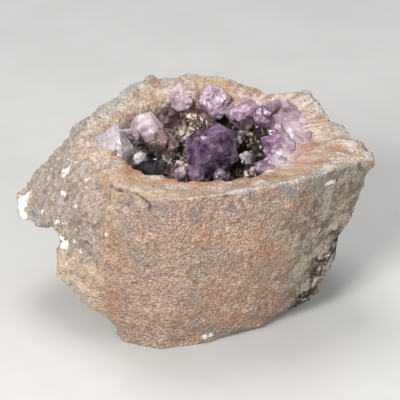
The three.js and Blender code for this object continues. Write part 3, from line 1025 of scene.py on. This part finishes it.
def pale_quartz(s, zone):
    """Crystals with little purple: rosy, or white where there is none."""
    white = s.mix(zone, colour(255, 254, 254), colour(236, 233, 234))
    rosy = s.mix(zone, colour(254, 244, 245), colour(238, 206, 214))
    return s.mix(s.step(s.mask("purple"), 0.0, 0.03), white, rosy)


def dark_quartz(s, zone):
    """Dark crystals: deep purple with pale haze; those with little purple are amber, the darkest smoky."""
    amber = s.mix(zone, colour(154, 104, 92), colour(80, 47, 43))
    smoke = s.mix(zone, colour(84, 80, 82), colour(34, 31, 32))
    smoky = s.mix(s.step(s.mask("dark"), 0.75, 0.95), amber, smoke)
    haze = s.noise(5.5, 7.0, 0.72, 0.2)
    deep = s.mix(s.step(haze, 0.32, 0.66), colour(178, 146, 186), colour(40, 18, 36))
    return s.mix(s.step(s.mask("purple"), 0.1, 0.5), smoky, deep)


def amethyst_colour(s, vein):
    """Purple that grows towards the tip, in zones, with pale and dark veins."""
    zone = s.step(s.noise(6.5, 3.0, 0.5, 0.7), 0.42, 0.58)
    purple = s.mix(zone, colour(246, 198, 232), colour(128, 60, 122))
    strength = s.patchy("purple", s.mask("along"), 0.3, 0.9, 0.4, 1.0)
    base = s.mix(strength, pale_quartz(s, zone), purple)
    base = s.mix(s.step(vein, 0.57, 0.67, 0, 0.75), base, colour(254, 244, 250))
    line = s.times(s.step(vein, 0.45, 0.5), s.step(vein, 0.55, 0.5))
    base = s.mix(s.times(line, s.step(strength, 0.1, 0.6, 0.1, 0.6)), base, colour(96, 58, 92))
    return s.mix(s.step(s.mask("dark"), 0.0, 0.8), base, dark_quartz(s, zone))


def amethyst_material():
    s = Shader("amethyst")
    purple = s.mask("purple")
    vein = s.noise(3.6, 2.0, 0.5, 1.0)
    s.put("Base Color", amethyst_colour(s, vein))
    satin = s.times(s.step(purple, 0.6, 0.3, 0.0, 0.2), s.step(purple, 0.03, 0.15))
    s.put("Roughness", s.plus(s.step(vein, 0.3, 0.7, 0.08, 0.25), satin))
    s.put("Transmission Weight", QUARTZ_CLEAR)
    s.put("IOR", QUARTZ_IOR)
    # Small flat faces, and sugary ones on the white crystals
    faces = s.tilted(s.add("NewGeometry", {}).outputs["Normal"], 4.5, 0.7)
    s.put("Normal", s.tilted(faces, 1.3, s.step(purple, 0.05, 0.03, 0.0, 0.7)))
    absorption = s.add("VolumeAbsorption", {"Color": colour(*QUARTZ_TINT), "Density": QUARTZ_ABSORPTION})
    s.feed(s.output.inputs["Volume"], absorption.outputs[0])
    return s.material


def druse_material():
    s = Shader("druse")
    tone = s.mask("tone")
    speck = s.noise(1.6, 3.0, 0.6)
    # The tone carries painted light: lighter druse on the left of the hollow, darker on the right.
    base = s.mix(s.step(tone, 0.05, 0.45), colour(42, 31, 29), colour(232, 210, 194))
    base = s.mix(s.step(tone, 0.55, 0.95), base, colour(232, 222, 212))
    s.put("Base Color", s.mix(s.step(speck, 0.52, 0.7, 0, 0.6), base, colour(84, 68, 60)))
    s.put("Roughness", 0.35)
    s.bump(speck, 0.3, 0.2)
    return s.material


def floor_material():
    s = Shader("floor")
    share = s.step(s.noise(60), 0.4, 0.6)
    s.put("Base Color", s.mix(share, colour(186, 184, 181), colour(189, 187, 184)))
    s.put("Roughness", 0.7)
    return s.material


def add_floor():
    mesh = bpy.data.meshes.new("floor")
    corners = [(x * FLOOR_HALF, y * FLOOR_HALF, 0) for x, y in ((-1, -1), (1, -1), (1, 1), (-1, 1))]
    mesh.from_pydata(corners, [], [(0, 1, 2, 3)])
    mesh.materials.append(floor_material())
    floor = add_object("floor", mesh)
    floor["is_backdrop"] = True


def add_light(name, place, size, power):
    """A soft square light that faces the stone."""
    data = bpy.data.lights.new(name, "AREA")
    data.size = size
    data.energy = power
    light = add_object(name, data)
    light.location = place
    light.rotation_euler = (VIEW_TARGET - Vector(place)).to_track_quat("-Z", "Y").to_euler()


def add_sky():
    """Even light from all round."""
    world = bpy.data.worlds.new("studio")
    world.use_nodes = True
    background = world.node_tree.nodes["Background"]
    background.inputs["Color"].default_value = SKY_COLOUR
    background.inputs["Strength"].default_value = SKY_STRENGTH
    bpy.context.scene.world = world


def add_camera():
    data = bpy.data.cameras.new("camera")
    data.lens = VIEW_LENS
    camera = add_object("camera", data)
    back = Vector((0, -math.cos(VIEW_ELEVATION), math.sin(VIEW_ELEVATION)))
    camera.location = VIEW_TARGET + back * VIEW_DISTANCE
    camera.rotation_euler = (-back).to_track_quat("-Z", "Y").to_euler()
    bpy.context.scene.camera = camera


add_camera()
add_floor()
for light_values in LIGHTS:
    add_light(*light_values)
add_sky()
bpy.context.scene.view_settings.view_transform = "Standard"

rock = rock_piece()
rock.data.materials.append(rock_material())
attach(rock, "root")
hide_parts("rock_shell")

crust = crust_piece(rock)
crust.data.materials.append(amethyst_material())
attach(crust, "root")
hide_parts("crystal_crust")

druse = druse_piece(rock)
druse.data.materials.append(druse_material())
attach(druse, "root")

[[list(corner) for corner in box] for box in (cad_box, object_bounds())]
